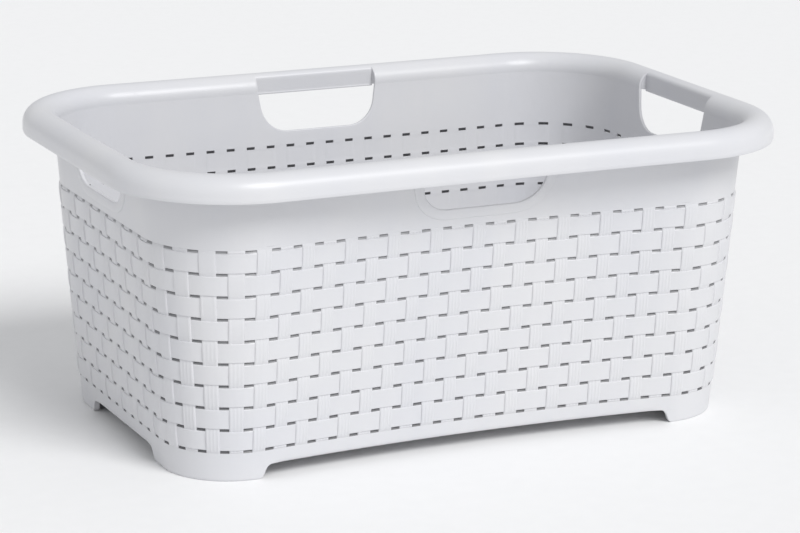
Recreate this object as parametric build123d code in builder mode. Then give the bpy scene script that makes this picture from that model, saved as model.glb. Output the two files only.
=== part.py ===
"""Open laundry basket in basket-weave moulded plastic: drafted walls, rolled rim, four hand grips.

Millimetres, +Z up, +X along the long sides. The origin is the middle of the footprint, on the ground.
The basket is one moulding; it is divided here along its own edges into the areas a person would name.
"""
from build123d import *
from math import sqrt
import os

os.makedirs("parts", exist_ok=True)

# Overall sizes
rim_length = 600.0  # over the skirt of the rim, along X
rim_width = 408.0  # over the skirt of the rim, along Y, at the ends of the long panels
height = 264.0  # ground to the crown of the rim

# Walls
wall = 2.2
end_lean = 19.2  # how far an end wall leans out on its way up from the ground
side_lean = 23.2  # the same for the front and the back
top_corner = 79.0  # corner radius of the walls under the rim
base_corner = 58.5  # corner radius of the walls at the ground
front_waist = 11.0  # how far the front is drawn in at its middle, so that it rides on the hip
back_waist = 3.0  # the same for the back, which is nearly straight
rim_waist = 1.5  # the same for both long sides of the rim
collar_height = 48.5  # plain wall between the weave and the rim

# Floor and feet
base_edge = 12.0  # lower edge of the walls between the feet
floor_step = 1.0  # underside of the floor above that edge
floor_thickness = 2.5
foot_wall = 5.0
foot_along_end = 82.0  # length of a foot along the end wall
foot_along_side = 67.5  # length of a foot along the front or the back

# Rim
rim_depth = 29.0  # inside of the wall to the outside of the skirt
rim_wall = 2.2
rim_straight = 1.5  # straight run between the top of the wall and the round crown
skirt_drop = 21.5  # crown of the rim down to the lower edge of its skirt
web = 2.0  # plates that close the hollow rim beside each hand opening

# Hand openings and grips
grip_half_length = 58.0
grip_inset = 5.0  # outside of the wall to the inner face of a grip
opening_sill = 13.0  # weave to the lower edge of an opening
opening_taper = 6.0  # each end leans in by this much from top to bottom
opening_corner = 26.0
border = 9.0  # width of the raised border round an opening
border_relief = 0.8
border_margin = 3.0  # plain wall between the border and the end of its panel

# Weave slots
slot_width = 8.0
slot_height = 2.4
slot_row_pitch = 18.95
slot_column_pitch = 19.4
slot_columns_corner = 5
slot_top_margin = 3.25  # middle of the highest row of slots below the collar
slot_base_margin = 9.5  # least height of a row above the lower edge of the walls
slot_side_margin = 2.0  # least wall between a slot and the start of a corner

reach = 2.0 * rim_length  # longer than anything that is cut
top_length = rim_length - 2 * (rim_depth - wall)
top_width = rim_width - 2 * (rim_depth - wall)
base_length = top_length - 2 * end_lean
base_width = top_width - 2 * side_lean
panel_half_length = top_length / 2 - top_corner
panel_half_width = top_width / 2 - rim_waist - top_corner
crown_radius = rim_depth / 2
collar_top = height - crown_radius - rim_straight
weave_top = collar_top - collar_height
floor_height = base_edge + floor_step
opening_bottom = weave_top + opening_sill
surround_half_length = grip_half_length + border + border_margin
slot_top = weave_top - slot_top_margin
slot_rows = 1 + int((slot_top - base_edge - slot_base_margin) / slot_row_pitch)
slot_middle = slot_top - slot_row_pitch * (slot_rows - 1) / 2


def outline(level, growth=0.0):
    """Plan of the walls at a height, as a sketch, made larger or smaller all round by growth."""
    share = level / collar_top
    length = base_length + (top_length - base_length) * share + 2 * growth
    width = base_width + (top_width - base_width) * share
    corner = base_corner + (top_corner - base_corner) * share + growth
    blend = max(0.0, (level - weave_top) / (collar_top - weave_top))
    x, middles, ends = length / 2, [], []
    for waist in (front_waist, back_waist):
        waist += (rim_waist - waist) * blend
        bow = (panel_half_length**2 + waist**2) / (2 * waist)
        middles.append(width / 2 - waist + growth)
        ends.append(middles[-1] + bow - sqrt(bow**2 - x**2))
    with BuildSketch(Plane.XY.offset(level)) as plan:
        with BuildLine():
            ThreePointArc((-x, -ends[0]), (0, -middles[0]), (x, -ends[0]))
            Line((x, -ends[0]), (x, ends[1]))
            ThreePointArc((x, ends[1]), (0, middles[1]), (-x, ends[1]))
            Line((-x, ends[1]), (-x, -ends[0]))
        make_face()
        fillet(vertices(), corner)
    return plan.sketch


def shell(low, high, outside=0.0, inside=-wall):
    """Drafted wall between two heights and two distances from the outer face."""
    loft([outline(low, outside), outline(high, outside)])
    loft([outline(low, inside), outline(high, inside)], mode=Mode.SUBTRACT)


def keep(x_from, x_to, y_from, y_to):
    """Cut the part being built down to an upright block."""
    with Locations(((x_from + x_to) / 2, (y_from + y_to) / 2, 0)):
        Box(x_to - x_from, y_to - y_from, 2 * reach, mode=Mode.INTERSECT)


def side_plane(side):
    """Upright plane through the origin, seen from outside the named side."""
    normal = {"front": (0, -1, 0), "back": (0, 1, 0), "left": (-1, 0, 0), "right": (1, 0, 0)}[side]
    return Plane(origin=(0, 0, 0), x_dir=(-normal[1], normal[0], 0), z_dir=normal)


def keep_side(side, half):
    """Cut the part being built down to the strip in front of the middle of a side."""
    spans = {
        "front": (-half, half, -reach, 0),
        "back": (-half, half, 0, reach),
        "left": (-reach, 0, -half, half),
        "right": (0, reach, -half, half),
    }
    keep(*spans[side])


def keep_corner(x_sign, y_sign, from_x, from_y):
    """Cut the part being built down to one corner, outside two upright planes."""
    x_ends = sorted((x_sign * from_x, x_sign * reach))
    y_ends = sorted((y_sign * from_y, y_sign * reach))
    keep(*x_ends, *y_ends)


def opening_outline(side, growth=0.0):
    """D-shaped hand opening on a side plane, as a sketch, with its open top above the collar."""
    top = collar_top + rim_depth
    slope = opening_taper / (collar_top - opening_bottom)
    half_top = grip_half_length + growth + slope * (top - collar_top)
    half_bottom = grip_half_length + growth - opening_taper
    bottom = opening_bottom - growth
    with BuildSketch(side_plane(side)) as opening:
        with BuildLine():
            Polyline(
                (-half_top, top), (-half_bottom, bottom), (half_bottom, bottom), (half_top, top), close=True
            )
        make_face()
        fillet(vertices().group_by(Axis.Z)[0], opening_corner + growth)
    return opening.sketch


sides = ("front", "back", "left", "right")
corners = {
    "front_left": (-1, -1),
    "front_right": (1, -1),
    "back_left": (-1, 1),
    "back_right": (1, 1),
}

# Floor: fills the plan inside the walls
with BuildPart() as floor_panel:
    loft([outline(level, -wall) for level in (floor_height, floor_height + floor_thickness)])
floor_panel.part.label = "floor_panel"
export_step(floor_panel.part, "parts/floor_panel.step")

# Feet: the corners of the walls carried down to the ground
for name, (x_sign, y_sign) in corners.items():
    with BuildPart() as foot:
        shell(0, base_edge, inside=-foot_wall)
        keep_corner(x_sign, y_sign, base_length / 2 - foot_along_side, base_width / 2 - foot_along_end)
    foot.part.label = f"foot_{name}"
    export_step(foot.part, f"parts/foot_{name}.step")

# Woven sides: flat panels with rows of slots
for side in sides:
    half_panel = panel_half_length if side in ("front", "back") else panel_half_width
    with BuildPart() as weave:
        shell(base_edge, weave_top)
        keep_side(side, half_panel)
        room = half_panel - slot_side_margin - slot_width / 2
        columns = 2 * int(room / slot_column_pitch + 0.5)
        with BuildSketch(side_plane(side)):
            with Locations((0, slot_middle)):
                with GridLocations(slot_column_pitch, slot_row_pitch, columns, slot_rows):
                    Rectangle(slot_width, slot_height)
        extrude(amount=reach, mode=Mode.SUBTRACT)
    weave.part.label = f"weave_{side}"
    export_step(weave.part, f"parts/weave_{side}.step")

# Woven corners: a quarter turn each, with slots that point at the corner's centre
for name, (x_sign, y_sign) in corners.items():
    with BuildPart() as weave_corner:
        shell(base_edge, weave_top)
        keep_corner(x_sign, y_sign, panel_half_length, panel_half_width)
        turn = 90.0 / slot_columns_corner
        start = {(1, 1): 0, (-1, 1): 90, (-1, -1): 180, (1, -1): 270}[(x_sign, y_sign)] + turn / 2
        for row in range(slot_rows):
            level = slot_top - slot_row_pitch * row
            with Locations((x_sign * panel_half_length, y_sign * panel_half_width, level)):
                with PolarLocations(top_corner / 2, slot_columns_corner, start, 90.0 - turn, endpoint=True):
                    Box(2 * top_corner, slot_width, slot_height, mode=Mode.SUBTRACT)
    weave_corner.part.label = f"weave_corner_{name}"
    export_step(weave_corner.part, f"parts/weave_corner_{name}.step")

# Plain collar above the weave: an L-shaped piece round each corner, from one opening panel to the next
for name, (x_sign, y_sign) in corners.items():
    with BuildPart() as collar:
        shell(weave_top, collar_top)
        keep_corner(x_sign, y_sign, surround_half_length, surround_half_length)
    collar.part.label = f"collar_{name}"
    export_step(collar.part, f"parts/collar_{name}.step")

# Opening panels: plain wall with a raised border round the hand opening
for side in sides:
    with BuildPart() as raised:
        shell(weave_top, collar_top, outside=border_relief, inside=-wall / 2)
        keep_side(side, surround_half_length)
        extrude(opening_outline(side, border), amount=reach, mode=Mode.INTERSECT)
    with BuildPart() as surround:
        shell(weave_top, collar_top)
        keep_side(side, surround_half_length)
        add(raised.part)
        extrude(opening_outline(side), amount=reach, mode=Mode.SUBTRACT)
    surround.part.label = f"opening_panel_{side}"
    export_step(surround.part, f"parts/opening_panel_{side}.step")

# Rim: a round-crowned channel that runs right round the top of the walls
rim_path = outline(collar_top).face().outer_wire()
along = rim_path % 0
inward = Vector(0, 0, 1).cross(along)
rim_plane = Plane(origin=rim_path @ 0, x_dir=inward, z_dir=along)
skirt_edge = height - skirt_drop - collar_top
outside_x, inside_x = wall - rim_depth, wall


def crown(radius):
    """Half ring over the rim, joined to the wall and to the skirt by straight runs."""
    centre_x = (outside_x + inside_x) / 2
    Line((centre_x + radius, 0), (centre_x + radius, rim_straight))
    ThreePointArc(
        (centre_x + radius, rim_straight),
        (centre_x, rim_straight + radius),
        (centre_x - radius, rim_straight),
    )
    Line((centre_x - radius, rim_straight), (centre_x - radius, skirt_edge))


with BuildPart() as rim:
    with BuildSketch(rim_plane):
        with BuildLine():
            crown(crown_radius)
            Line((outside_x, skirt_edge), (outside_x + rim_wall, skirt_edge))
            crown(crown_radius - rim_wall)
            Line((inside_x - rim_wall, 0), (inside_x, 0))
        make_face()
    sweep(path=rim_path)

with BuildPart() as rim_filled:
    with BuildSketch(rim_plane):
        with BuildLine():
            crown(crown_radius)
            Polyline((outside_x, skirt_edge), (-border_relief, 0), (inside_x, 0))
        make_face()
    sweep(path=rim_path)

for name, (x_sign, y_sign) in corners.items():
    with BuildPart() as webs:
        add(rim_filled.part)
        keep_corner(x_sign, y_sign, grip_half_length, grip_half_length)
        with Locations((x_sign * (grip_half_length + web), y_sign * (grip_half_length + web), 0)):
            Box(
                reach,
                reach,
                2 * reach,
                align=[Align.MIN if sign > 0 else Align.MAX for sign in (x_sign, y_sign)] + [Align.CENTER],
                mode=Mode.SUBTRACT,
            )
    with BuildPart() as rim_corner:
        add(rim.part)
        keep_corner(x_sign, y_sign, grip_half_length, grip_half_length)
        add(webs.part)
    rim_corner.part.label = f"rim_{name}"
    export_step(rim_corner.part, f"parts/rim_{name}.step")

# Grips: the rim across each hand opening, less its inner edge, closed on the inside by a flat plate
for side in sides:
    across = top_width / 2 - rim_waist if side in ("front", "back") else top_length / 2
    inner_face = side_plane(side).offset(across + grip_inset)
    with BuildPart() as plate:
        add(rim_filled.part)
        keep_side(side, grip_half_length)
        with BuildSketch(inner_face):
            Rectangle(reach, reach)
        extrude(amount=rim_wall, mode=Mode.INTERSECT)
    with BuildPart() as grip:
        add(rim.part)
        keep_side(side, grip_half_length)
        with BuildSketch(inner_face):
            Rectangle(reach, reach)
        extrude(amount=reach, mode=Mode.INTERSECT)
        add(plate.part)
    grip.part.label = f"grip_{side}"
    export_step(grip.part, f"parts/grip_{side}.step")
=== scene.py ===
"""Open laundry basket in basket-weave moulded plastic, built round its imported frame.

Metres, +Z up, +X along the long sides, -Y out of the front. A place on the walls is given by its step, which
counts slot columns round the outline from the middle of the front towards +X, and by its level over the ground.
"""
import math

import bpy
import numpy as np
from bpy.props import FloatProperty, FloatVectorProperty, IntProperty, PointerProperty
from mathutils import Matrix, Vector


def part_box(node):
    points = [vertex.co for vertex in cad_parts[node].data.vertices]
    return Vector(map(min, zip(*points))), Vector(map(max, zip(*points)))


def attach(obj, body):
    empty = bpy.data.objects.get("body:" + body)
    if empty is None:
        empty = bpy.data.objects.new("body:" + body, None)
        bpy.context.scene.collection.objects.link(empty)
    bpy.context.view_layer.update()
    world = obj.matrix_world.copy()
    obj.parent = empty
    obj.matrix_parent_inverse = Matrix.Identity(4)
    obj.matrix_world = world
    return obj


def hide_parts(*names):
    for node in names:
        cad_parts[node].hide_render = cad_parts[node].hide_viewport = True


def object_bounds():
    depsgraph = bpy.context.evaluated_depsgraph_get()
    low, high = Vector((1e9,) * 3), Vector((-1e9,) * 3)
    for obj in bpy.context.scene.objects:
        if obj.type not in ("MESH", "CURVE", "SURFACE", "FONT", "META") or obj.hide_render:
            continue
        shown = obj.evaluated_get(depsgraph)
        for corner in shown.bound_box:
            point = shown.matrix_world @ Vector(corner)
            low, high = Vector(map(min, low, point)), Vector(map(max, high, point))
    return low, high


bl_info = {
    "name": "Woven Laundry Basket",
    "version": (1, 0, 0),
    "blender": (4, 5, 0),
    "location": "3D View > Sidebar > Basket",
    "description": "Builds an open laundry basket with woven-look walls, a rolled rim and four hand grips",
    "category": "Add Mesh",
}

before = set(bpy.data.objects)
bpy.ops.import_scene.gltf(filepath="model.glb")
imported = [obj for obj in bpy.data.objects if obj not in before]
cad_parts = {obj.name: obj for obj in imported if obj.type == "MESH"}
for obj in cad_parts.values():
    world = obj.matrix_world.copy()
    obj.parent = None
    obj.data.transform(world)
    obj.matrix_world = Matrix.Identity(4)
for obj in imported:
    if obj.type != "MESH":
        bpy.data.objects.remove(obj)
cad_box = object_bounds()

SIDES = {"front": 0, "right": 20, "back": 40, "left": 60}
CORNERS = {"front_right": 0, "back_right": 20, "back_left": 40, "front_left": 60}
LONG_SIDES = ("front", "back")
AFTER_LONG_SIDE = ("front_right", "back_left")  # corners that follow a long side on the way round
LONG_HALF = 10  # slot columns from the middle of a long side to its corner
CORNER = 5  # slot columns round a corner
END_HALF = 5  # slot columns from the middle of an end wall to its corner
QUARTER = LONG_HALF + CORNER + END_HALF
ROUND = 4 * QUARTER
CREASE = math.radians(35)  # sharpest bend between smooth faces of the plain pieces
WOVEN_CREASE = math.radians(24)  # the same on the woven walls, where it keeps the ribs crisp


def mm(value):
    """Millimetres as metres."""
    return value / 1000


def node_low(node):
    """Lowest corner of a CAD node."""
    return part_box(node)[0]


def node_high(node):
    """Highest corner of a CAD node."""
    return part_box(node)[1]


def length(label, note, default):
    """A length that a user may change."""
    return FloatProperty(name=label, description=note, default=default, min=0, unit="LENGTH", precision=4)


def share(label, note, default):
    """A plain number that a user may change."""
    return FloatProperty(name=label, description=note, default=default, min=0, precision=4)


def colour(label, note, default):
    """A colour that a user may change."""
    return FloatVectorProperty(name=label, description=note, default=default, subtype="COLOR", size=3)


# ---------------------------------------------------------------- sizes


class BasketWalls(bpy.types.PropertyGroup):
    """Outline, levels and thickness of the walls."""

    rim_length: length("Rim length", "Over the skirt, along X", cad_box[1].x - cad_box[0].x)
    rim_width: length("Rim width", "Over the skirt, along Y", cad_box[1].y - cad_box[0].y)
    crown: length("Crown", "Top of the rim", cad_box[1].z)
    collar_top: length("Collar top", "Where the walls turn into the rim", node_high("collar_front_left").z)
    weave_top: length("Weave top", "Upper edge of the weave", node_high("weave_front").z)
    base_edge: length("Base edge", "Lower edge of the walls between the feet", node_low("weave_front").z)
    wall: length("Wall", "Thickness of the walls", mm(2.2))
    end_lean: length("End lean", "How far an end wall leans out", mm(19.2))
    side_lean: length("Side lean", "How far the front and the back lean out", mm(23.2))
    top_corner: length("Top corner", "Corner radius of the walls under the rim", mm(79))
    base_corner: length("Base corner", "Corner radius of the walls at the ground", mm(58.5))
    front_waist: length("Front waist", "How far the front is drawn in at its middle", mm(11))
    back_waist: length("Back waist", "How far the back is drawn in at its middle", mm(3))
    rim_waist: length("Rim waist", "How far the long sides of the rim are drawn in", mm(1.5))


class BasketRim(bpy.types.PropertyGroup):
    """Rolled rim, hand openings and grips."""

    depth: length("Depth", "Inside of the wall to the outside of the skirt", mm(29))
    thickness: length("Thickness", "Wall of the hollow rim", mm(2.2))
    straight: length("Straight", "Straight run between the walls and the round crown", mm(1.5))
    skirt_edge: length("Skirt edge", "Lower edge of the skirt", node_low("rim_front_left").z)
    web: length("Web", "Plates that close the rim beside each opening", mm(2))
    grip_half: length("Grip half length", "Middle of a grip to its end", node_high("grip_front").x)
    grip_inset: length("Grip inset", "Outside of the wall to the inner face of a grip", mm(5))
    grip_round: length("Grip round", "Radius between a grip's inner face and the crown", mm(4))
    grip_low: length("Grip low", "How far a grip's inner face reaches below the collar top", mm(2.6))
    panel_half: length("Panel half length", "Half the plain panel", node_high("opening_panel_front").x)
    sill: length("Sill", "Weave to the lower edge of an opening", mm(13))
    taper: length("Taper", "How far each end of an opening leans in", mm(6))
    corner: length("Corner", "Lower corner radius of an opening", mm(26))
    border: length("Border", "Width of the raised border round an opening", mm(9))
    relief: length("Border relief", "Height of the raised border", mm(0.8))


class BasketWeave(bpy.types.PropertyGroup):
    """Moulded weave: flat strands that pass over and under ribbed upright strands."""

    rows: IntProperty(name="Rows", description="Rows of strands between the slots", default=9, min=1)
    row_pitch: length("Row pitch", "Height of one row", mm(18.95))
    top_margin: length("Top margin", "Middle of the highest slots below the collar", mm(3.25))
    slot_half: share("Slot half height", "Half the height of a slot, in rows", 0.0633)
    strand_half: share("Strand half length", "Half the flat strand, in columns", 0.70)
    bevel: share("Bevel", "Width of the step at a strand's end, in columns", 0.022)
    lip: share("Lip", "Height of the step along a strand, in rows", 0.0367)
    strand_rise: length("Strand rise", "Height of a flat strand", mm(1.25))
    strand_dip: share("Strand dip", "Share of that height lost at a strand's ends", 0.8)
    upright_rise: length("Upright rise", "Height of an upright strand", mm(1.35))
    upright_dip: share("Upright dip", "Share of that height lost where it passes under", 0.8)
    rib_rise: length("Rib rise", "Depth of the fine ribs on an upright strand", mm(0.165))
    rib_pitch: share("Rib pitch", "Width of a rib, in columns", 0.15)
    slot_climb: length("Slot climb", "How far a slot slopes up on its way in", mm(3))
    telegraph: share("Telegraph", "Share of the relief that shows on the inside", 0.12)


class BasketBase(bpy.types.PropertyGroup):
    """Feet and floor."""

    foot_wall: length("Foot wall", "Thickness of a foot", mm(5))
    foot_along_side: length("Foot along side", "Length of a foot along a long side", mm(67.5))
    foot_along_end: length("Foot along end", "Length of a foot along an end", mm(82))
    floor_under: length("Floor underside", "Underside of the floor", node_low("floor_panel").z)
    floor_top: length("Floor top", "Top of the floor", node_high("floor_panel").z)
    cove: length("Cove", "Radius where the floor meets the walls", mm(4))


class BasketFinish(bpy.types.PropertyGroup):
    """Moulded polypropylene."""

    tint: colour("Tint", "Colour of the plastic", (0.70, 0.70, 0.715))
    shade: colour("Shade", "Cooler colour in broad patches", (0.665, 0.67, 0.70))
    # Painted shade: the dark colour laid on the slots' upper and lower faces
    slot_painted_shade_colour: colour("Slot painted shade", "Painted shade on the cut faces inside the slots", (0.13, 0.13, 0.137))
    roughness: share("Roughness", "Roughness of the clean surface", 0.38)
    grain: length("Grain", "Depth of the moulded grain", mm(0.02))


class BasketStudio(bpy.types.PropertyGroup):
    """Camera, lights and floor."""

    lens: share("Lens", "Focal length in millimetres on a 36 mm sensor", 137.44)
    key: share("Key light", "Strength of the broad light from the front right", 1.9)
    key_height: share("Key height", "Angle of that light above the floor, in degrees", 45.0)
    key_side: share("Key side", "Angle of that light round from the front, in degrees", 14.0)
    key_spread: share("Key spread", "Apparent width of that light, in degrees", 28.0)
    fill: share("Fill light", "Power of the soft light at the front left", 1.0)
    world: share("Surroundings", "Brightness of the surroundings", 0.58)


# ---------------------------------------------------------------- outline of the walls


def wall_points(walls, step, level, out=0.0, height=None):
    """Places on the walls, and the level directions that point outwards there.

    The step, the level of the outline, the distance outside the outer face and the height may be arrays. The
    height is the level unless it is given."""
    step, level, out = np.broadcast_arrays(np.asarray(step, float), level, out)
    height = np.broadcast_to(level if height is None else height, step.shape)
    around = np.mod(step, ROUND)
    quarter = np.minimum(around // QUARTER, 3).astype(int)
    along = np.where(quarter % 2 == 0, around - QUARTER * quarter, QUARTER * (quarter + 1) - around)
    x_sign = np.where(quarter < 2, 1.0, -1.0)
    y_sign = np.where((quarter == 0) | (quarter == 3), -1.0, 1.0)

    # Outline at this level, in the quarter where both axes are positive
    rim_reach = rim_overhang()
    rise = level / walls.collar_top
    blend = np.clip((level - walls.weave_top) / (walls.collar_top - walls.weave_top), 0, 1)
    blend = blend * blend * (3 - 2 * blend)
    waist = np.where(y_sign < 0, walls.front_waist, walls.back_waist)
    waist = waist + (walls.rim_waist - waist) * blend
    end_x = walls.rim_length / 2 - rim_reach - walls.end_lean * (1 - rise)
    middle = walls.rim_width / 2 - rim_reach - walls.side_lean * (1 - rise) - waist
    corner = walls.base_corner + (walls.top_corner - walls.base_corner) * rise
    hub = corner_hub(walls)
    bow = (hub[0] ** 2 + waist**2) / (2 * waist)
    bow_y = middle + bow
    round_x = end_x - corner
    round_y = bow_y - np.sqrt((bow + corner) ** 2 - round_x**2)

    # Where a ray from the hub of the corner meets the outline: the long side, the corner or the end wall
    turn = np.clip((along - LONG_HALF) / CORNER, 0, 1) * math.pi / 2
    ray_x, ray_y = np.sin(turn), np.cos(turn)
    start_x = np.where(along < LONG_HALF, along / LONG_HALF * hub[0], hub[0])
    start_y = np.where(along > LONG_HALF + CORNER, (QUARTER - along) / END_HALF * hub[1], hub[1])
    lean_b = ray_x * (start_x - round_x) + ray_y * (start_y - round_y)
    lean_c = (start_x - round_x) ** 2 + (start_y - round_y) ** 2 - corner**2
    reach = -lean_b + np.sqrt(np.maximum(lean_b**2 - lean_c, 0))
    x, y = start_x + ray_x * reach, start_y + ray_y * reach
    normal_x, normal_y = (x - round_x) / corner, (y - round_y) / corner
    tangent_x = round_x * bow / (bow + corner)
    on_side = x < tangent_x
    side_b = ray_x * start_x + ray_y * (start_y - bow_y)
    side_c = start_x**2 + (start_y - bow_y) ** 2 - bow**2
    side_reach = -side_b - np.sqrt(np.maximum(side_b**2 - side_c, 0))
    side_x, side_y = start_x + ray_x * side_reach, start_y + ray_y * side_reach
    x, y = np.where(on_side, side_x, x), np.where(on_side, side_y, y)
    normal_x = np.where(on_side, -side_x / bow, normal_x)
    normal_y = np.where(on_side, (bow_y - side_y) / bow, normal_y)
    on_end = ~on_side & (y < round_y)
    end_y = start_y + ray_y * (end_x - start_x) / np.maximum(ray_x, 1e-9)
    x, y = np.where(on_end, end_x, x), np.where(on_end, end_y, y)
    normal_x, normal_y = np.where(on_end, 1.0, normal_x), np.where(on_end, 0.0, normal_y)

    points = np.stack([x_sign * (x + normal_x * out), y_sign * (y + normal_y * out), height], -1)
    normals = np.stack([x_sign * normal_x, y_sign * normal_y, np.zeros_like(x)], -1)
    return points, normals


def rim_overhang():
    """Outside of the wall to the outside of the skirt."""
    rim, walls = bpy.context.scene.basket_rim, bpy.context.scene.basket_walls
    return rim.depth - walls.wall


def corner_hub(walls):
    """Upright line that the slots of a corner point at: its distances from the middle planes."""
    reach = rim_overhang()
    return (
        walls.rim_length / 2 - reach - walls.top_corner,
        walls.rim_width / 2 - reach - walls.rim_waist - walls.top_corner,
    )


def side_steps(walls, side, distance):
    """Steps at a distance from the middle of a side, measured straight along it."""
    hub = corner_hub(walls)
    columns = LONG_HALF / hub[0] if side in LONG_SIDES else END_HALF / hub[1]
    return SIDES[side] + np.asarray(distance) * columns


def corner_range(walls, corner, from_side, from_end):
    """First and last step of a piece that turns a corner, from its distances along the two sides."""
    hub = corner_hub(walls)
    along_side = from_side * LONG_HALF / hub[0]
    along_end = from_end * END_HALF / hub[1]
    start = CORNERS[corner]
    if corner in AFTER_LONG_SIDE:
        return start + along_side, start + QUARTER - along_end
    return start + along_end, start + QUARTER - along_side


def steps_between(first, last, straight=0.5, curved=0.1):
    """Steps from first to last, closer together round the corners."""
    lines = [first]
    for hub_step in np.arange(math.floor(first), math.ceil(last)):
        place = hub_step % QUARTER
        forward = (hub_step // QUARTER) % 2 == 0
        place = place if forward else QUARTER - 1 - place
        gap = curved if LONG_HALF <= place < LONG_HALF + CORNER else straight
        inner = hub_step + np.arange(round(1 / gap)) * gap
        lines += [s for s in inner if first + gap / 3 < s < last - gap / 3]
    return np.array(lines + [last])


# ---------------------------------------------------------------- meshes


def linked(name, data):
    """Object of a mesh, a camera or a light, linked to the scene."""
    made = bpy.data.objects.new(name, data)
    bpy.context.scene.collection.objects.link(made)
    return made


def new_piece(name, *shells):
    """Object with one shaded mesh of several shells, each given as points and faces."""
    points, faces, first = [], [], 0
    for shell_points, shell_faces in shells:
        points += [tuple(p) for p in shell_points]
        faces += [tuple(int(v) + first for v in face) for face in shell_faces]
        first += len(shell_points)
    mesh = bpy.data.meshes.new(name)
    mesh.from_pydata(points, [], faces)
    mesh.validate()
    mesh.shade_smooth()
    mesh.set_sharp_from_angle(angle=CREASE)
    return linked(name, mesh)


def shell(outer, inner, flip=False):
    """Points and faces of a closed sheet between two grids of the same size (rows, columns, 3)."""
    rows, columns = outer.shape[:2]
    points = np.concatenate([outer.reshape(-1, 3), inner.reshape(-1, 3)])
    front, back = np.arange(2 * rows * columns).reshape(2, rows, columns)
    faces = [quads(front), quads(back)[:, ::-1]]
    for line, reverse in ((0, True), (rows - 1, False)):
        faces.append(strip(front[line], back[line], reverse))
    for line, reverse in ((0, False), (columns - 1, True)):
        faces.append(strip(front[:, line], back[:, line], reverse))
    faces = np.concatenate(faces)
    return points, (faces[:, ::-1] if flip else faces)


def quads(grid):
    """Faces of a grid of vertex numbers, seen from the side where columns run right and rows run up."""
    return np.stack([grid[:-1, :-1], grid[:-1, 1:], grid[1:, 1:], grid[1:, :-1]], -1).reshape(-1, 4)


def strip(near, far, reverse):
    """Faces between two lines of vertex numbers."""
    faces = np.stack([near[:-1], near[1:], far[1:], far[:-1]], -1)
    return faces[:, ::-1] if reverse else faces


def finish_piece(piece, node, material):
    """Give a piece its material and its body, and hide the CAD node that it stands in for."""
    piece.data.materials.clear()
    piece.data.materials.append(material)
    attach(piece, "root")
    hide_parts(node)


# ---------------------------------------------------------------- woven walls


def weave_steps(first, last):
    """Steps of the weave's grid: on both edges of every strand, slot and rib."""
    weave = bpy.context.scene.basket_weave
    under = 1 - weave.strand_half
    rib = weave.rib_pitch
    in_slot = 0.433  # a line between the ends of a slot
    half = [0, rib / 2, rib, 1.5 * rib, under - weave.bevel, under, in_slot]
    share_lines = sorted(half + [1 - s for s in half[1:]])
    lines = [whole + s for whole in range(first, last) for s in share_lines]
    return np.array(lines + [last])


def weave_levels(walls, weave):
    """Levels of the weave's grid, with the row that each is in, from the base edge to the weave's top."""
    top_slots = walls.weave_top - weave.top_margin
    low_slots = top_slots - weave.rows * weave.row_pitch
    half, lip = weave.slot_half, weave.lip
    across_strand = [0.23, 0.36, 0.5, 0.64, 0.77]
    cell = [0, half, half + lip, *across_strand, 1 - half - lip, 1 - half]
    bottom = (walls.base_edge - low_slots) / weave.row_pitch
    base_round = [bottom, bottom + 0.03, bottom + 0.08, bottom + 0.2]
    below = [*base_round, -0.35, -0.2, -half - lip, -half]
    above = [weave.rows, weave.rows + half, (walls.weave_top - low_slots) / weave.row_pitch]
    rows = np.array(below + [row + s for row in range(weave.rows) for s in cell] + above)
    return low_slots + rows * weave.row_pitch, rows


class Fields:
    """Writes arithmetic on fields into a node tree."""

    def __init__(self, tree):
        self.tree = tree

    def node(self, kind, inputs=(), **settings):
        """A node with settings and with inputs given by their place or their name."""
        made = self.tree.nodes.new(kind)
        for key, value in settings.items():
            setattr(made, key, value)
        pairs = inputs.items() if isinstance(inputs, dict) else enumerate(inputs)
        for key, value in pairs:
            if isinstance(value, bpy.types.NodeSocket):
                self.tree.links.new(value, made.inputs[key])
            elif value is not None:
                made.inputs[key].default_value = value
        return made

    def math(self, operation, *values):
        """Result of a Math node."""
        return self.node("ShaderNodeMath", values, operation=operation).outputs[0]

    def minus(self, first, second):
        """First number less the second."""
        return self.math("SUBTRACT", first, second)

    def below(self, value, limit):
        """Test for a number under a limit."""
        return self.math("LESS_THAN", value, limit)

    def above(self, value, limit):
        """Test for a number over a limit."""
        return self.math("GREATER_THAN", value, limit)

    def total(self, *values):
        """Sum of several numbers."""
        result = values[0]
        for value in values[1:]:
            result = self.math("ADD", result, value)
        return result

    def product(self, *values):
        """Product of several numbers."""
        result = values[0]
        for value in values[1:]:
            result = self.math("MULTIPLY", result, value)
        return result

    def choose(self, test, when_true, when_false):
        """One of two numbers."""
        inputs = {"Switch": test, "True": when_true, "False": when_false}
        return self.node("GeometryNodeSwitch", inputs, input_type="FLOAT").outputs[0]

    def attribute(self, name, kind="FLOAT"):
        """A named attribute of the geometry."""
        return self.node("GeometryNodeInputNamedAttribute", {"Name": name}, data_type=kind).outputs["Attribute"]

    def scaled(self, vector, factor):
        """A vector times a number."""
        return self.node("ShaderNodeVectorMath", {0: vector, "Scale": factor}, operation="SCALE").outputs[0]

    def mix(self, factor, first, second):
        """A blend of two colours."""
        return self.node("ShaderNodeMix", {"Factor": factor, 6: first, 7: second}, data_type="RGBA").outputs[2]


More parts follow.
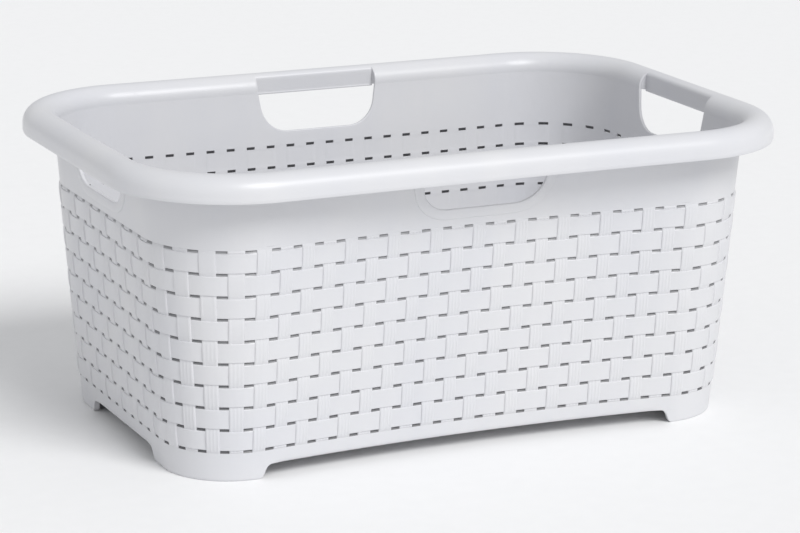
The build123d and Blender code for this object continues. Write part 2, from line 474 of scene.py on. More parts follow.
def weave_relief(fields, given):
    """Height of the weave over the plain wall, and the test for a slot, as fields of column and row."""
    column, row = fields.attribute("column"), fields.attribute("row")
    last_row = fields.minus(given["Rows"], 1.0)
    in_row = fields.math("MAXIMUM", fields.math("MINIMUM", fields.math("FLOOR", row), last_row), 0.0)
    shifted = fields.minus(fields.total(column, 1.0), fields.math("MODULO", in_row, 2.0))
    across = fields.math("ABSOLUTE", fields.math("WRAP", shifted, 1.0, -1.0))
    upward = fields.math("ABSOLUTE", fields.minus(fields.minus(row, in_row), 0.5))

    # Borders between strands run halfway through their bevels
    edge = fields.minus(0.5, given["Slot Half Height"])
    strand_limit = fields.total(given["Strand Half Length"], fields.product(given["Bevel"], 0.5))
    lip_limit = fields.minus(edge, fields.product(given["Lip"], 0.5))
    on_strand = fields.below(across, strand_limit)
    in_gap = fields.above(upward, lip_limit)
    under_limit = fields.minus(1.0, strand_limit)
    crosses = fields.below(across, under_limit)

    # Flat strand: crowned along its length
    bow = fields.math("POWER", fields.math("DIVIDE", across, given["Strand Half Length"]), 2.0)
    strand = fields.minus(1.0, fields.product(bow, given["Strand Dip"]))
    strand = fields.product(strand, given["Strand Rise"])

    # Upright strand: crowned along its height, with fine ribs
    from_middle = fields.choose(on_strand, across, fields.minus(1.0, across))
    to_crossing = fields.choose(on_strand, fields.minus(1.0, upward), upward)
    reach = fields.total(0.5, given["Slot Half Height"])
    sink = fields.math("POWER", fields.math("DIVIDE", to_crossing, reach), 3.0)
    upright = fields.minus(1.0, fields.product(sink, given["Upright Dip"]))
    upright = fields.product(upright, given["Upright Rise"])
    turns = fields.math("DIVIDE", from_middle, given["Rib Pitch"])
    ripple = fields.math("COSINE", fields.product(turns, math.tau))
    upright = fields.minus(upright, fields.product(ripple, given["Rib Rise"]))

    # Inside a row a strand or an upright; in the gaps between rows only uprights, and slots between them
    barely = mm(0.03)
    in_gap_height = fields.choose(on_strand, fields.choose(crosses, upright, barely), upright)
    height = fields.choose(in_gap, in_gap_height, fields.choose(on_strand, strand, upright))
    hair = 0.001  # rows
    beyond_top = fields.above(row, fields.total(given["Rows"], hair))
    height = fields.product(height, fields.minus(1.0, beyond_top))
    height = fields.product(height, fields.above(row, -hair))

    centre = fields.math("ABSOLUTE", fields.minus(across, 0.5))
    half_slot = fields.minus(given["Strand Half Length"], 0.5)
    slot = fields.product(
        fields.below(centre, half_slot),
        fields.above(upward, edge),
        fields.below(upward, reach),
    )
    return height, slot


WEAVE_SIZES = {  # inputs of the weave's tree, and the sizes that go into them
    "Rows": "rows",
    "Slot Half Height": "slot_half",
    "Strand Half Length": "strand_half",
    "Bevel": "bevel",
    "Lip": "lip",
    "Strand Rise": "strand_rise",
    "Strand Dip": "strand_dip",
    "Upright Rise": "upright_rise",
    "Upright Dip": "upright_dip",
    "Rib Rise": "rib_rise",
    "Rib Pitch": "rib_pitch",
    "Telegraph": "telegraph",
}


def weave_tree():
    """Geometry Nodes tree that turns the inner sheet of a wall into a woven, slotted wall."""
    tree = bpy.data.node_groups.new("Moulded weave", "GeometryNodeTree")
    tree.is_modifier = True
    tree.interface.new_socket("Geometry", in_out="INPUT", socket_type="NodeSocketGeometry")
    for name in (*WEAVE_SIZES, "Sharp Angle"):
        tree.interface.new_socket(name, in_out="INPUT", socket_type="NodeSocketFloat")
    tree.interface.new_socket("Plastic", in_out="INPUT", socket_type="NodeSocketMaterial")
    tree.interface.new_socket("Geometry", in_out="OUTPUT", socket_type="NodeSocketGeometry")
    fields = Fields(tree)
    given = fields.node("NodeGroupInput").outputs
    height, slot = weave_relief(fields, given)
    outward = fields.attribute("outward", "FLOAT_VECTOR")

    open_sheet = fields.node(
        "GeometryNodeDeleteGeometry", {"Geometry": given["Geometry"], "Selection": slot}, domain="FACE"
    )
    shown_inside = fields.product(height, given["Telegraph"])
    sheet = fields.node(
        "GeometryNodeSetPosition",
        {"Geometry": open_sheet.outputs[0], "Offset": fields.scaled(outward, shown_inside)},
    ).outputs[0]
    raised = fields.node("GeometryNodeExtrudeMesh", {"Mesh": sheet, "Offset Scale": 0.0, "Individual": False})
    rise = fields.minus(fields.minus(height, shown_inside), fields.attribute("tuck"))
    offsets = (fields.attribute("through", "FLOAT_VECTOR"), fields.scaled(outward, rise))
    move = fields.node("ShaderNodeVectorMath", offsets, operation="ADD").outputs[0]
    outside = fields.node(
        "GeometryNodeSetPosition",
        {"Geometry": raised.outputs["Mesh"], "Selection": raised.outputs["Top"], "Offset": move},
    ).outputs[0]
    # Painted shade: a mask on the slots' upper and lower faces, read by the plastic
    marked = fields.node(
        "GeometryNodeStoreNamedAttribute",
        {
            "Geometry": outside,
            "Name": "painted_shade_on_slot_faces",
            "Value": fields.product(raised.outputs["Side"], slot_faces_painted_shade(fields, given)),
        },
        data_type="FLOAT",
        domain="FACE",
    ).outputs[0]
    inside = fields.node("GeometryNodeFlipFaces", {"Mesh": sheet}).outputs[0]
    both = fields.node("GeometryNodeJoinGeometry")
    tree.links.new(inside, both.inputs[0])
    tree.links.new(marked, both.inputs[0])
    welded = fields.node("GeometryNodeMergeByDistance", {"Geometry": both.outputs[0], "Distance": mm(0.001)})
    smooth = fields.node("GeometryNodeSetShadeSmooth", {"Geometry": welded.outputs[0], "Shade Smooth": True})
    bend = fields.node("GeometryNodeInputMeshEdgeAngle").outputs[0]
    creased = fields.node(
        "GeometryNodeStoreNamedAttribute",
        {
            "Geometry": smooth.outputs[0],
            "Name": "sharp_edge",
            "Value": fields.above(bend, given["Sharp Angle"]),
        },
        data_type="BOOLEAN",
        domain="EDGE",
    )
    real = fields.node("GeometryNodeRealizeInstances", {"Geometry": creased.outputs[0]})
    coated = fields.node("GeometryNodeSetMaterial", {"Geometry": real.outputs[0], "Material": given["Plastic"]})
    fields.node("NodeGroupOutput", {"Geometry": coated.outputs[0]})
    return tree


def slot_faces_painted_shade(fields, given):
    """Mask of painted shade on a slot's upper and lower faces: all of it on the faces that look down, less of it
    on a sill, the less the higher its row.
    """
    normal = fields.node("GeometryNodeInputNormal").outputs[0]
    facing = fields.node("ShaderNodeSeparateXYZ", (normal,)).outputs["Z"]
    row = fields.attribute("row")
    tilt_limit = 0.3
    base_edge_row = -0.3
    least_loss, loss_over_rows = 0.05, 0.4
    lies_flat = fields.above(fields.math("ABSOLUTE", facing), tilt_limit)
    over_base = fields.above(row, base_edge_row)
    loss = fields.product(fields.math("DIVIDE", row, given["Rows"]), loss_over_rows)
    faces_up = fields.above(facing, 0.0)
    loss = fields.choose(faces_up, fields.total(loss, least_loss), 0.0)
    return fields.product(over_base, lies_flat, fields.minus(1.0, loss))


def inner_sheet(name, walls, weave, first, last):
    """Sheet on the inner face of a wall, which carries its column, row and outward direction."""
    steps = weave_steps(first, last)
    levels, rows = weave_levels(walls, weave)
    step_grid, level_grid = np.meshgrid(steps, levels)
    outside, outward = wall_points(walls, step_grid, level_grid)
    rows_to_full_climb = 0.35
    climb = weave.slot_climb * np.clip((rows - rows[0]) / rows_to_full_climb, 0, 1)[:, None]
    points = wall_points(walls, step_grid, level_grid + climb, -walls.wall)[0]
    faces = quads(np.arange(step_grid.size).reshape(step_grid.shape)).tolist()
    mesh = bpy.data.meshes.new(name)
    mesh.from_pydata([tuple(p) for p in points.reshape(-1, 3)], [], faces)
    for label, kind, values in (
        ("column", "FLOAT", step_grid),
        ("row", "FLOAT", np.broadcast_to(rows[:, None], step_grid.shape)),
        ("tuck", "FLOAT", base_tuck(walls, step_grid, level_grid)),
        ("outward", "FLOAT_VECTOR", outward),
        ("through", "FLOAT_VECTOR", outside - points),
    ):
        attribute = mesh.attributes.new(label, kind, "POINT")
        slot = "vector" if kind == "FLOAT_VECTOR" else "value"
        attribute.data.foreach_set(slot, np.ascontiguousarray(values, dtype=np.float32).ravel())
    return linked(name, mesh)


def inner_level(walls, level):
    """Level on the inner face of the collar for one on the outer face. The seam over the weave climbs inwards."""
    fade = mm(9)
    near_seam = np.clip(1 - (level - walls.weave_top) / fade, 0, 1)
    return level + bpy.context.scene.basket_weave.slot_climb * near_seam


def base_tuck(walls, step, level):
    """How far the outer face is rounded in along the base edge, between the feet."""
    base, hub = bpy.context.scene.basket_base, corner_hub(walls)
    quarter = np.mod(step, ROUND) // QUARTER
    along = np.mod(step, QUARTER)
    along = np.where(quarter % 2 == 0, along, QUARTER - along)
    foot_start = (base_half_length(walls) - base.foot_along_side) * LONG_HALF / hub[0]
    foot_end = QUARTER - (base_half_width(walls) - base.foot_along_end) * END_HALF / hub[1]
    plain, fade, rounding = 0.25, 0.5, mm(1.1)
    clear = np.clip(np.maximum(foot_start - along, along - foot_end) - plain, 0, fade) / fade
    drop = np.clip(1 - (level - walls.base_edge) / (2 * rounding), 0, 1)
    return clear * rounding * drop**2


def base_half_length(walls):
    """Half the outside length of the walls, carried down to the ground."""
    return walls.rim_length / 2 - rim_overhang() - walls.end_lean


def base_half_width(walls):
    """Half the outside width of the walls, carried down to the ground."""
    return walls.rim_width / 2 - rim_overhang() - walls.side_lean


def make_woven(tree, name, first, last, material):
    """One woven wall as a plain mesh."""
    scene = bpy.context.scene
    walls, weave = scene.basket_walls, scene.basket_weave
    sheet = inner_sheet(name, walls, weave, first, last)
    values = {name: float(getattr(weave, size)) for name, size in WEAVE_SIZES.items()}
    values["Sharp Angle"] = WOVEN_CREASE
    values["Plastic"] = material
    modifier = sheet.modifiers.new("Weave", "NODES")
    modifier.node_group = tree
    for item in tree.interface.items_tree:
        if item.in_out == "INPUT" and item.name in values:
            modifier[item.identifier] = values[item.name]
    graph = bpy.context.evaluated_depsgraph_get()
    mesh = bpy.data.meshes.new_from_object(sheet.evaluated_get(graph))
    sheet.modifiers.clear()
    sheet.data = mesh
    mesh.name = name
    for label in ("column", "row", "tuck", "outward", "through"):
        if label in mesh.attributes:
            mesh.attributes.remove(mesh.attributes[label])
    return sheet


# ---------------------------------------------------------------- plastic


def surface_group():
    """Shader group: broad tone patches, painted shade in the slots, uneven gloss, scuffs and moulded grain."""
    tree = bpy.data.node_groups.new("Moulded surface", "ShaderNodeTree")
    for name, kind, default in (
        ("Tint", "NodeSocketColor", (0.8, 0.8, 0.8, 1)),
        ("Shade", "NodeSocketColor", (0.75, 0.75, 0.78, 1)),
        ("Slot Painted Shade", "NodeSocketColor", (0.1, 0.1, 0.11, 1)),
        ("Roughness", "NodeSocketFloat", 0.4),
        ("Grain Scale", "NodeSocketFloat", 1400.0),
    ):
        tree.interface.new_socket(name, in_out="INPUT", socket_type=kind).default_value = default
    for name, kind in (("Color", "Color"), ("Roughness", "Float"), ("Height", "Float")):
        tree.interface.new_socket(name, in_out="OUTPUT", socket_type=f"NodeSocket{kind}")
    fields = Fields(tree)
    given = fields.node("NodeGroupInput").outputs
    place = fields.node("ShaderNodeTexCoord").outputs["Object"]

    def noise(scale, detail, stretch=(1, 1, 1)):
        spread = fields.node("ShaderNodeMapping", {"Vector": place, "Scale": stretch})
        return fields.node(
            "ShaderNodeTexNoise", {"Vector": spread.outputs[0], "Scale": scale, "Detail": detail}
        ).outputs[0]

    patches = noise(7.0, 3.0)
    flow = noise(34.0, 4.0, (1, 1, 0.18))
    scuffs = noise(160.0, 6.0, (1, 1, 0.35))
    grain = noise(given["Grain Scale"], 2.0)
    tone = fields.total(fields.product(patches, 0.7), fields.product(flow, 0.3))
    tone = fields.node("ShaderNodeMapRange", {"Value": tone, "From Min": 0.35, "From Max": 0.65}).outputs[0]
    toned = fields.mix(tone, given["Shade"], given["Tint"])
    # Painted shade: the slots' upper and lower faces blended towards a dark colour
    painted_shade_on_slot_faces = fields.node("ShaderNodeAttribute", attribute_name="painted_shade_on_slot_faces").outputs["Fac"]
    toned = fields.mix(painted_shade_on_slot_faces, toned, given["Slot Painted Shade"])
    worn = fields.node("ShaderNodeMapRange", {"Value": scuffs, "From Min": 0.62, "From Max": 0.72}).outputs[0]
    rough = fields.total(given["Roughness"], fields.product(fields.minus(flow, 0.5), 0.16))
    rough = fields.total(rough, fields.product(worn, 0.10))
    height = fields.minus(grain, fields.product(worn, 0.35))
    fields.node("NodeGroupOutput", {"Color": toned, "Roughness": rough, "Height": height})
    return tree


def plastic(name, group, gloss=0.0, grain_scale=1400.0):
    """White moulded plastic."""
    finish = bpy.context.scene.basket_finish
    material = bpy.data.materials.new(name)
    material.use_nodes = True
    fields = Fields(material.node_tree)
    shader = material.node_tree.nodes["Principled BSDF"]
    values = {
        "Tint": (*finish.tint, 1),
        "Shade": (*finish.shade, 1),
        "Slot Painted Shade": (*finish.slot_painted_shade_colour, 1),
        "Roughness": finish.roughness - gloss,
        "Grain Scale": grain_scale,
    }
    surface = fields.node("ShaderNodeGroup", node_tree=group)
    for label, value in values.items():
        surface.inputs[label].default_value = value
    bump = fields.node("ShaderNodeBump", {"Height": surface.outputs["Height"], "Distance": finish.grain})
    link = material.node_tree.links.new
    link(surface.outputs["Color"], shader.inputs["Base Color"])
    link(surface.outputs["Roughness"], shader.inputs["Roughness"])
    link(bump.outputs[0], shader.inputs["Normal"])
    shader.inputs["IOR"].default_value = 1.49
    return material


def materials():
    """The basket's four finishes, made once."""
    if "Weave plastic" not in bpy.data.materials:
        group = surface_group()
        plastic("Weave plastic", group, grain_scale=1200.0)
        plastic("Collar plastic", group, gloss=0.02)
        plastic("Rim plastic", group, gloss=0.06, grain_scale=1700.0)
        plastic("Base plastic", group, gloss=-0.06, grain_scale=900.0)
    return {slot: bpy.data.materials[f"{slot.title()} plastic"] for slot in ("weave", "collar", "rim", "base")}


# ---------------------------------------------------------------- operators


class BASKET_OT_woven_walls(bpy.types.Operator):
    """Build the woven sides and corners"""

    bl_idname = "basket.woven_walls"
    bl_label = "Woven Walls"

    def execute(self, context):
        tree = weave_tree()
        material = materials()["weave"]
        for side, middle in SIDES.items():
            half = LONG_HALF if side in LONG_SIDES else END_HALF
            piece = make_woven(tree, f"woven_{side}", middle - half, middle + half, material)
            finish_piece(piece, f"weave_{side}", material)
        for corner, start in CORNERS.items():
            first = start + (LONG_HALF if corner in AFTER_LONG_SIDE else END_HALF)
            piece = make_woven(tree, f"woven_corner_{corner}", first, first + CORNER, material)
            finish_piece(piece, f"weave_corner_{corner}", material)
        return {"FINISHED"}


class BASKET_OT_collar(bpy.types.Operator):
    """Build the plain collar pieces, from one opening panel round a corner to the next"""

    bl_idname = "basket.collar"
    bl_label = "Collar"

    def execute(self, context):
        walls, rim = context.scene.basket_walls, context.scene.basket_rim
        levels = np.linspace(walls.weave_top, walls.collar_top, 13)
        for corner in CORNERS:
            first, last = corner_range(walls, corner, rim.panel_half, rim.panel_half)
            step, level = np.meshgrid(steps_between(first, last), levels)
            outer = wall_points(walls, step, level)[0]
            inner = wall_points(walls, step, inner_level(walls, level), -walls.wall)[0]
            piece = new_piece(f"collar_plain_{corner}", shell(outer, inner))
            finish_piece(piece, f"collar_{corner}", materials()["collar"])
        return {"FINISHED"}


def opening_half(walls, rim, growth):
    """Right half of an opening's outline, grown outwards, from its middle at the bottom to its top.

    Gives distances along the side, levels, the angles round the lower corner, and the place of its hub."""
    bottom = walls.weave_top + rim.sill
    slope = rim.taper / (walls.collar_top - bottom)
    lean = math.atan(slope)
    radius = rim.corner + growth
    hub_level = bottom - growth + radius
    at_hub = rim.grip_half + growth - slope * (walls.collar_top - hub_level)
    hub = at_hub - radius / math.cos(lean)
    to_corner = math.atan2(walls.weave_top - hub_level, rim.panel_half - hub)
    angles = np.linspace(-math.pi / 2, -lean, 17)
    angles[np.argmin(abs(angles - to_corner))] = to_corner
    flat = np.linspace(0, hub, 6)[:-1]
    rise = np.linspace(hub_level - radius * math.sin(lean), walls.collar_top, 7)[1:]
    along = np.concatenate(
        [flat, hub + radius * np.cos(angles), rim.grip_half + growth - slope * (walls.collar_top - rise)]
    )
    level = np.concatenate([0 * flat + bottom - growth, hub_level + radius * np.sin(angles), rise])
    return along, level, angles, hub, hub_level


def panel_edge(walls, rim, outline):
    """Edge of the plain panel, point for point opposite the outline of its opening."""
    along, level, angles, hub, hub_level = outline
    cosine, sine = np.cos(angles), np.sin(angles)
    least = 1e-6  # a smaller sine or cosine counts as none
    to_side = np.where(cosine > least, (rim.panel_half - hub) / np.maximum(cosine, least), np.inf)
    to_bottom = np.where(sine < -least, (walls.weave_top - hub_level) / np.minimum(sine, -least), np.inf)
    reach = np.minimum(to_side, to_bottom)
    flats = 5
    rises = len(along) - flats - len(angles)
    edge_along = np.concatenate([along[:flats], hub + reach * cosine, np.full(rises, rim.panel_half)])
    edge_level = np.concatenate([np.full(flats, walls.weave_top), hub_level + reach * sine, level[-rises:]])
    return edge_along, edge_level


def mirrored(values, sign):
    """A right half with its left half before it."""
    return np.concatenate([sign * values[:0:-1], values])


class BASKET_OT_opening_panels(bpy.types.Operator):
    """Build the plain panels with the hand openings and their raised borders"""

    bl_idname = "basket.opening_panels"
    bl_label = "Opening Panels"

    def execute(self, context):
        walls, rim = context.scene.basket_walls, context.scene.basket_rim
        ease = mm(0.45)
        lines = [  # growth of the outline, rise of the outer face, rise of the inner face
            (0.0, rim.relief - 2 * ease, ease),
            (0.4 * ease, rim.relief - ease, 0.4 * ease),
            (1.2 * ease, rim.relief - 0.3 * ease, 0.05 * ease),
            (2.4 * ease, rim.relief, 0.0),
            (rim.border / 2, rim.relief, 0.0),
            (rim.border - 1.4 * ease, rim.relief, 0.0),
            (rim.border - 0.8 * ease, rim.relief - 0.25 * ease, 0.0),
            (rim.border, 0.0, 0.0),
        ]
        for side in SIDES:
            outer, inner = [], []
            for growth, rise, inner_rise in lines:
                along, level = opening_half(walls, rim, growth)[:2]
                outer.append(self.row(walls, side, along, level, rise))
                inner.append(self.row(walls, side, along, inner_level(walls, level), inner_rise - walls.wall))
            edge = panel_edge(walls, rim, opening_half(walls, rim, rim.border))
            outer.append(self.row(walls, side, *edge, 0.0))
            inner.append(self.row(walls, side, edge[0], inner_level(walls, edge[1]), -walls.wall))
            piece = new_piece(f"hand_opening_{side}", shell(np.array(outer), np.array(inner), flip=True))
            finish_piece(piece, f"opening_panel_{side}", materials()["collar"])
        return {"FINISHED"}

    def row(self, walls, side, along, level, out):
        """One line round the opening on a side, from its left top to its right top."""
        steps = side_steps(walls, side, mirrored(along, -1))
        return wall_points(walls, steps, mirrored(level, 1), out)[0]


def rim_profile(walls, rim, inset):
    """Section of the rim: distances outside the wall, and heights, from the wall over the crown to the skirt."""
    out, height = crown_profile(walls, rim, inset, math.pi)
    straight = walls.collar_top + np.array([0, rim.straight / 2])
    return np.append(np.full(2, inset - walls.wall), out), np.append(straight, height)


def crown_profile(walls, rim, inset, first_angle):
    """Round crown and skirt of a section, from an angle on the crown to the lower edge of the skirt."""
    radius = rim.depth / 2 - inset
    hub_out = rim_overhang() - rim.depth / 2
    hub_height = walls.collar_top + rim.straight
    half_turn_lines = 26
    angles = np.linspace(first_angle, 0, round(first_angle / math.pi * half_turn_lines))
    skirt = np.linspace(hub_height, rim.skirt_edge, 5)[1:]
    out = np.append(hub_out + radius * np.cos(angles), 0 * skirt + hub_out + radius)
    return out, np.append(hub_height + radius * np.sin(angles), skirt)


def grip_profile(walls, rim, inset):
    """Section of a grip: its flat inner face, rounded into the crown, and the skirt."""
    hub_height = walls.collar_top + rim.straight
    round_out = rim.grip_inset + rim.grip_round
    from_hub = round_out - rim_overhang() + rim.depth / 2
    rise = math.sqrt((rim.depth / 2 - rim.grip_round) ** 2 - from_hub**2)
    turn = math.atan2(rise, from_hub)
    angles = np.linspace(math.pi, turn, 7)[:-1]
    radius = rim.grip_round - inset
    low = walls.collar_top - rim.grip_low
    bead_height = mm(np.array([0, 0.15, 0.5, 1.1, 1.6, 1.85, 2.3]))
    bead = mm(np.array([0.45, 0.1, -0.3, -0.3, -0.15, 0.0, 0.0])) * (inset == 0)  # on the outer skin only
    face = np.linspace(low + bead_height[-1], hub_height + rise, 5)[1:-1]
    face_out = rim.grip_inset + inset
    out, height = crown_profile(walls, rim, inset, turn)
    out = np.concatenate([face_out + bead, 0 * face + face_out, round_out + radius * np.cos(angles), out])
    height = np.concatenate([low + bead_height, face, hub_height + rise + radius * np.sin(angles), height])
    return out, height


def sweep_profile(walls, steps, out, height):
    """Grid of a section carried along the top of the walls."""
    step, out = np.meshgrid(steps, out)
    height = np.broadcast_to(np.asarray(height)[:, None], step.shape)
    return wall_points(walls, step, walls.collar_top, out, height)[0]


def sweep_hollow(walls, rim, steps, profile):
    """Outer and inner grids of a hollow section along the top of the walls, with the edge of its skirt eased."""
    outer = sweep_profile(walls, steps, *profile(walls, rim, 0.0))
    inner = sweep_profile(walls, steps, *profile(walls, rim, rim.thickness))
    ease = 0.3  # share of the thickness
    outer[-1] += (inner[-1] - outer[-1]) * ease
    inner[-1] += (outer[-1] - inner[-1]) * ease
    return outer, inner


class BASKET_OT_rim(bpy.types.Operator):
    """Build the rolled rim round each corner, with the plates that close it beside the hand openings"""

    bl_idname = "basket.rim"
    bl_label = "Rim"

    def execute(self, context):
        walls, rim = context.scene.basket_walls, context.scene.basket_rim
        near_end = np.array([0.0, 0.02, 0.05, 0.1])
        for corner in CORNERS:
            first, last = corner_range(walls, corner, rim.grip_half, rim.grip_half)
            steps = steps_between(first + 0.2, last - 0.2, curved=0.08)
            steps = np.concatenate([first + near_end, steps, last - near_end[::-1]])
            outer, inner = sweep_hollow(walls, rim, steps, rim_profile)
            self.round_ends(rim, outer, inner, rim_profile(walls, rim, 0.0)[0])
            webs = [self.web(walls, rim, end, sign) for end, sign in ((first, 1), (last, -1))]
            piece = new_piece(f"rolled_rim_{corner}", shell(outer, inner, flip=True), *webs)
            finish_piece(piece, f"rim_{corner}", materials()["rim"])
        return {"FINISHED"}

    def round_ends(self, rim, outer, inner, out):
        """Round the cut ends of the inner half of the rim, beside the openings."""
        cut = np.clip((rim.grip_inset - out) / mm(4), 0, 1)[:, None]
        for column, weight in ((0, 0.45), (1, 0.12), (-1, 0.45), (-2, 0.12)):
            outer[:, column] += (inner[:, column] - outer[:, column]) * weight * cut

    def web(self, walls, rim, end, sign):
        """Plate across the hollow of the rim, between its inside and a slanting lower edge."""
        out, height = rim_profile(walls, rim, 0.9 * rim.thickness)
        blend = (out - out[0]) / (out[-1] - out[0])
        low = walls.collar_top + (rim.skirt_edge + mm(0.4) - walls.collar_top) * blend
        heights = np.array([np.minimum(low, height), height])
        thick = rim.web * LONG_HALF / corner_hub(walls)[0]
        near, far = (
            wall_points(walls, np.full(heights.shape, step), walls.collar_top, out, heights)[0]
            for step in (end, end + sign * thick)
        )
        return shell(near, far, flip=sign < 0)


class BASKET_OT_grips(bpy.types.Operator):
    """Build the grips: the rim across each hand opening, closed on the inside by a flat plate"""

    bl_idname = "basket.grips"
    bl_label = "Grips"

    def execute(self, context):
        walls, rim = context.scene.basket_walls, context.scene.basket_rim
        for side in SIDES:
            steps = side_steps(walls, side, np.linspace(-rim.grip_half, rim.grip_half, 13))
            outer, inner = sweep_hollow(walls, rim, steps, grip_profile)
            piece = new_piece(f"hand_grip_{side}", shell(outer, inner, flip=True))
            finish_piece(piece, f"grip_{side}", materials()["rim"])
        return {"FINISHED"}


class BASKET_OT_feet(bpy.types.Operator):
    """Build the feet: the corners of the walls carried down to the ground, with sloping ends"""

    bl_idname = "basket.feet"
    bl_label = "Feet"

    def execute(self, context):
        walls, base = context.scene.basket_walls, context.scene.basket_base
        rise = np.array([0, 0.05, 0.12, 0.25, 0.42, 0.6, 0.75, 0.87, 0.95, 1.0])
        shorter = mm(np.array([5.6, 4.3, 3.3, 2.4, 1.5, 0.6, -0.3, -1.5, -2.9, -4.6]))
        tuck = mm(np.array([0.9, 0.35, 0.08, 0, 0, 0, 0, 0, 0, 0]))
        from_side = base_half_length(walls) - base.foot_along_side
        from_end = base_half_width(walls) - base.foot_along_end
        near_ends = 6  # power that keeps the slope of an end out of the rest of the foot
        for corner in CORNERS:
            steps = steps_between(*corner_range(walls, corner, from_side, from_end))
            shares = (steps - steps[0]) / (steps[-1] - steps[0])
            outer, inner = [], []
            for level, short, ease in zip(rise * walls.base_edge, shorter, tuck):
                first, last = corner_range(walls, corner, from_side + short, from_end + short)
                start_shift, end_shift = first - steps[0], last - steps[-1]
                row = steps + start_shift * (1 - shares) ** near_ends + end_shift * shares**near_ends
                outer.append(wall_points(walls, row, level, -ease)[0])
                inner.append(wall_points(walls, row, level, -base.foot_wall)[0])
            piece = new_piece(f"corner_foot_{corner}", shell(np.array(outer), np.array(inner)))
            finish_piece(piece, f"foot_{corner}", materials()["base"])
        return {"FINISHED"}


class BASKET_OT_floor_panel(bpy.types.Operator):
    """Build the floor, with a cove where it meets the walls"""

    bl_idname = "basket.floor_panel"
    bl_label = "Floor Panel"

    def execute(self, context):
        walls, base = context.scene.basket_walls, context.scene.basket_base
        steps = steps_between(0, ROUND)[:-1]
        overlap = mm(0.1)
        outside = overlap - walls.wall
        rings = []
        for angle in np.linspace(0, math.pi / 2, 6):
            level = base.floor_top + base.cove * (1 - math.sin(angle))
            rings.append(wall_points(walls, steps, level, outside - base.cove * (1 - math.cos(angle)))[0])
        edge = wall_points(walls, steps, base.floor_top, outside - base.cove)[0]
        centre = np.array([0, 0, base.floor_top])
        rings += [centre + (edge - centre) * s for s in (0.8, 0.6, 0.4, 0.2, 0.05)]
        under = wall_points(walls, steps, base.floor_under, outside)[0]
        centre_under = np.array([0, 0, base.floor_under])
        below = [centre_under + (under - centre_under) * s for s in (0.05, 0.35, 0.7, 1.0)]
        piece = new_piece("floor_plate", self.stack(rings, below))
        finish_piece(piece, "floor_panel", materials()["base"])
        return {"FINISHED"}

    def stack(self, above, below):
        """Closed solid of rings: from the middle out underneath, then from the edge in over the top."""
        rings = below + above
        points = np.concatenate(rings)
        grid = np.arange(len(points)).reshape(len(rings), -1)
        grid = np.concatenate([grid, grid[:, :1]], 1)
        return points, [*quads(grid), grid[0, :-1][::-1], grid[-1, :-1]]


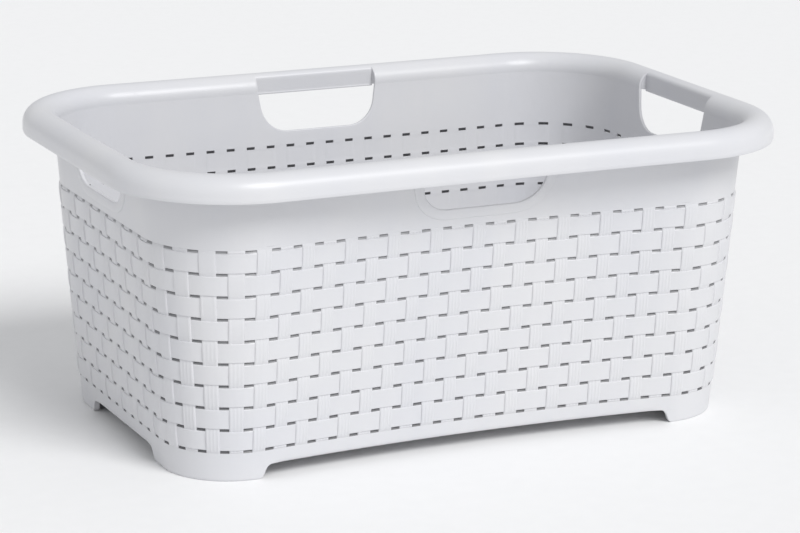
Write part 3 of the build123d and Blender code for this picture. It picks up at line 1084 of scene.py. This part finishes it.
class BASKET_OT_studio(bpy.types.Operator):
    """Build the floor, the lights and the camera"""

    bl_idname = "basket.studio"
    bl_label = "Studio"

    def execute(self, context):
        studio = context.scene.basket_studio
        self.floor()
        self.camera(studio)
        self.key_light(studio)
        self.fill_light(studio)
        world = bpy.data.worlds.new("Surroundings")
        context.scene.world = world
        world.use_nodes = True
        background = world.node_tree.nodes["Background"]
        background.inputs["Color"].default_value = (0.97, 0.98, 1.0, 1)
        background.inputs["Strength"].default_value = studio.world
        context.scene.view_settings.view_transform = "Standard"
        return {"FINISHED"}

    def floor(self):
        """Pale floor, large enough to fill the view."""
        half = 9.0
        corners = [(-half, -half, 0), (half, -half, 0), (half, half, 0), (-half, half, 0)]
        floor = new_piece("studio_floor", (corners, [(0, 1, 2, 3)]))
        material = bpy.data.materials.new("Pale floor")
        material.use_nodes = True
        fields = Fields(material.node_tree)
        place = fields.node("ShaderNodeTexCoord").outputs["Object"]
        speckle = fields.node("ShaderNodeTexNoise", {"Vector": place, "Scale": 60.0, "Detail": 3.0}).outputs[0]
        tone = fields.node("ShaderNodeMapRange", {"Value": speckle, "To Min": 0.90, "To Max": 0.93}).outputs[0]
        shader = material.node_tree.nodes["Principled BSDF"]
        material.node_tree.links.new(tone, shader.inputs["Base Color"])
        shader.inputs["Roughness"].default_value = 0.7
        floor.data.materials.append(material)

    def camera(self, studio):
        """Camera at the front left, a little above the rim."""
        data = bpy.data.cameras.new("Camera")
        data.lens = studio.lens
        data.sensor_width = 36.0
        camera = linked("Camera", data)
        heading, pitch, roll = math.radians(25.02), math.radians(-14.64), math.radians(0.42)
        turn = Matrix.Rotation(-heading, 3, "Z") @ Matrix.Rotation(math.pi / 2 + pitch, 3, "X")
        turn = turn @ Matrix.Rotation(roll, 3, "Z")
        camera.matrix_world = Matrix.Translation((-1.088, -2.339, 0.796)) @ turn.to_4x4()
        bpy.context.scene.camera = camera

    def key_light(self, studio):
        """Broad light from the front right."""
        data = bpy.data.lights.new("key_light", "SUN")
        data.energy = studio.key
        data.angle = math.radians(studio.key_spread)
        light = linked("key_light", data)
        tilt = Matrix.Rotation(math.radians(90 - studio.key_height), 4, "X")
        light.matrix_world = Matrix.Rotation(math.radians(studio.key_side), 4, "Z") @ tilt

    def fill_light(self, studio):
        """Square soft light at the front left, which faces the basket."""
        place = Vector((-2.2, -2.6, 1.3))
        aim = Vector((0, 0, 0.15))
        data = bpy.data.lights.new("fill_light", "AREA")
        data.energy = studio.fill
        data.size = 1.6
        light = linked("fill_light", data)
        facing = (aim - place).to_track_quat("-Z", "Y")
        light.matrix_world = Matrix.Translation(place) @ facing.to_matrix().to_4x4()


class BASKET_PT_build(bpy.types.Panel):
    """Sizes and build steps"""

    bl_label = "Laundry Basket"
    bl_idname = "BASKET_PT_build"
    bl_space_type = "VIEW_3D"
    bl_region_type = "UI"
    bl_category = "Basket"

    def draw(self, context):
        for operator in OPERATORS:
            self.layout.operator(operator.bl_idname)
        for label in GROUPS:
            box = self.layout.box()
            settings = getattr(context.scene, label)
            for name in settings.bl_rna.properties.keys():
                if name not in ("rna_type", "name"):
                    box.prop(settings, name)


GROUPS = {
    "basket_walls": BasketWalls,
    "basket_rim": BasketRim,
    "basket_weave": BasketWeave,
    "basket_base": BasketBase,
    "basket_finish": BasketFinish,
    "basket_studio": BasketStudio,
}
OPERATORS = (
    BASKET_OT_woven_walls,
    BASKET_OT_collar,
    BASKET_OT_opening_panels,
    BASKET_OT_rim,
    BASKET_OT_grips,
    BASKET_OT_feet,
    BASKET_OT_floor_panel,
    BASKET_OT_studio,
)


def register():
    """Register the classes and hang the sizes on the scene."""
    for label, group in GROUPS.items():
        bpy.utils.register_class(group)
        setattr(bpy.types.Scene, label, PointerProperty(type=group))
    for operator in OPERATORS:
        bpy.utils.register_class(operator)
    bpy.utils.register_class(BASKET_PT_build)


def unregister():
    """Take the classes and the sizes away again."""
    bpy.utils.unregister_class(BASKET_PT_build)
    for operator in reversed(OPERATORS):
        bpy.utils.unregister_class(operator)
    for label, group in reversed(GROUPS.items()):
        delattr(bpy.types.Scene, label)
        bpy.utils.unregister_class(group)


def main():
    """Build the basket and its studio."""
    register()
    bpy.ops.basket.woven_walls()
    bpy.ops.basket.collar()
    bpy.ops.basket.opening_panels()
    bpy.ops.basket.rim()
    bpy.ops.basket.grips()
    bpy.ops.basket.feet()
    bpy.ops.basket.floor_panel()
    bpy.ops.basket.studio()


if __name__ == "__main__":
    main()
